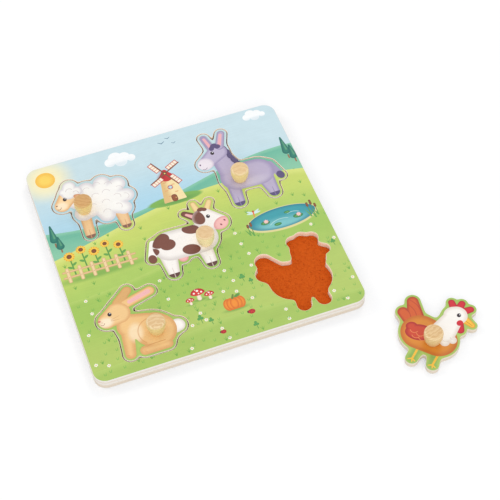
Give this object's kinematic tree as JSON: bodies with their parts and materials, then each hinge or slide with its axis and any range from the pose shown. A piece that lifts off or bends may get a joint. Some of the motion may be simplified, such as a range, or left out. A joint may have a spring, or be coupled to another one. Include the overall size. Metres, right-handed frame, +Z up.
{
  "type": "tactile puzzle",
  "caption": "Square wooden board with farm-animal cut-outs over felt touch pads, and flat animal pieces with turned knobs that lift out of it.",
  "frame": {"origin": "centre of the board's underside", "axes": "+Z up from the table, +Y towards the top edge of the board's picture, +X to its right"},
  "size_m": [0.3227, 0.3214, 0.0266],
  "materials": {
    "pale_plywood": "bare sanded plywood",
    "printed_plywood": "printed and varnished, satin",
    "sheep_print": "printed and varnished, satin",
    "donkey_print": "printed and varnished, satin",
    "cow_print": "printed and varnished, satin",
    "rabbit_print": "printed and varnished, satin",
    "hen_print": "printed and varnished, satin",
    "turned_knob": "turned and clear-varnished, satin",
    "white_fleece": "short curled pile",
    "lilac_felt": "matt pressed felt",
    "brown_plush": "short brushed pile",
    "tan_plush": "short brushed pile",
    "orange_felt": "matt pressed felt"
  },
  "bodies": {
    "board": {"base_board": "pale_plywood", "frame_board": "printed_plywood", "sheep_touch_pad": "white_fleece", "donkey_touch_pad": "lilac_felt", "cow_touch_pad": "brown_plush", "rabbit_touch_pad": "tan_plush", "hen_touch_pad": "orange_felt"},
    "sheep": {"sheep_piece": "sheep_print", "sheep_knob": "turned_knob"},
    "donkey": {"donkey_piece": "donkey_print", "donkey_knob": "turned_knob"},
    "cow": {"cow_piece": "cow_print", "cow_knob": "turned_knob"},
    "rabbit": {"rabbit_piece": "rabbit_print", "rabbit_knob": "turned_knob"},
    "hen": {"hen_piece": "hen_print", "hen_knob": "turned_knob"}
  },
  "joints": [
    {"name": "sheep_lift", "type": "slide", "parent": "board", "child": "sheep", "axis": [0, 0, 1], "range_m": [0, 0.04]},
    {"name": "donkey_lift", "type": "slide", "parent": "board", "child": "donkey", "axis": [0, 0, 1], "range_m": [0, 0.04]},
    {"name": "cow_lift", "type": "slide", "parent": "board", "child": "cow", "axis": [0, 0, 1], "range_m": [0, 0.04]},
    {"name": "rabbit_lift", "type": "slide", "parent": "board", "child": "rabbit", "axis": [0, 0, 1], "range_m": [0, 0.04]},
    {"name": "hen_lift", "type": "slide", "parent": "board", "child": "hen", "axis": [0, 0, 1], "range_m": [0, 0.04]}
  ]
}
